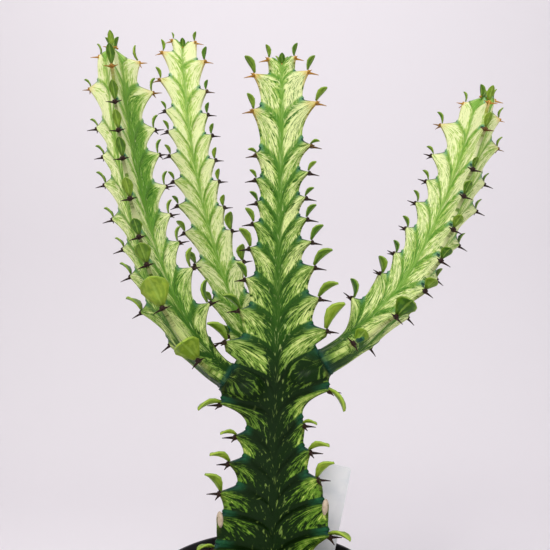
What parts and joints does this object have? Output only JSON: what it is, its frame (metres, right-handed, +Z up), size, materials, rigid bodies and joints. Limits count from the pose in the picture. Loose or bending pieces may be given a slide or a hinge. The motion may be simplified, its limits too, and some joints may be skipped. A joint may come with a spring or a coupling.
{
  "type": "potted succulent",
  "caption": "Upright ribbed succulent with variegated skin, side branches, spines and small leaves, growing in a round black nursery pot with a blank plant label.",
  "frame": {"origin": "centre of the pot's flat underside", "axes": "+Z up along the plant, the pictured front faces -Y, +X to the right in the picture"},
  "size_m": [0.2225, 0.12, 0.4022],
  "materials": {
    "pot_plastic": "black moulded plastic, satin",
    "potting_mix": "dark crumbly bark and peat potting mix",
    "label_plastic": "bare white plastic, satin",
    "stem_skin": "waxy green skin with pale yellow marbling"
  },
  "bodies": {
    "root": {"pot": "pot_plastic", "soil": "potting_mix", "plant_label": "label_plastic", "main_stem": "stem_skin", "left_branch": "stem_skin", "back_branch": "stem_skin", "right_branch": "stem_skin"}
  },
  "joints": []
}
